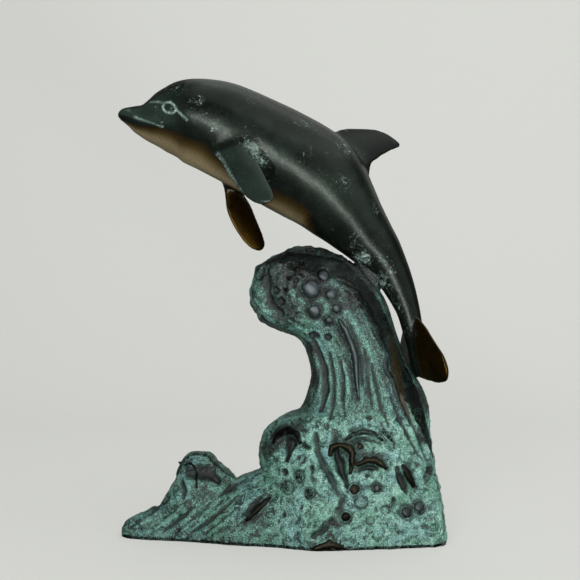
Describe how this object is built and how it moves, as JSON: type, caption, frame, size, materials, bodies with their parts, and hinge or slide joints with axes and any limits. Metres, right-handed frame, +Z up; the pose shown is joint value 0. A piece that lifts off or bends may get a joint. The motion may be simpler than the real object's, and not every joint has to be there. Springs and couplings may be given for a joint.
{
  "type": "dolphin figurine",
  "caption": "Cast brass figurine of a dolphin leaping off a curling wave, tail on the crest, on a flat narrow base that tapers to one end.",
  "frame": {"origin": "middle of the base's flat underside, on the surface it stands on", "axes": "+X along the base towards its square end and the tail, +Y away from the side the belly turns to, +Z up"},
  "size_m": [0.142, 0.0632, 0.2001],
  "materials": {
    "patinated_brass": "dark satin patina on the dolphin with a wiped pale belly, granular verdigris on the wave, brown brass on worn ridges"
  },
  "bodies": {
    "root": {"dolphin_on_wave_casting": "patinated_brass"}
  },
  "joints": []
}
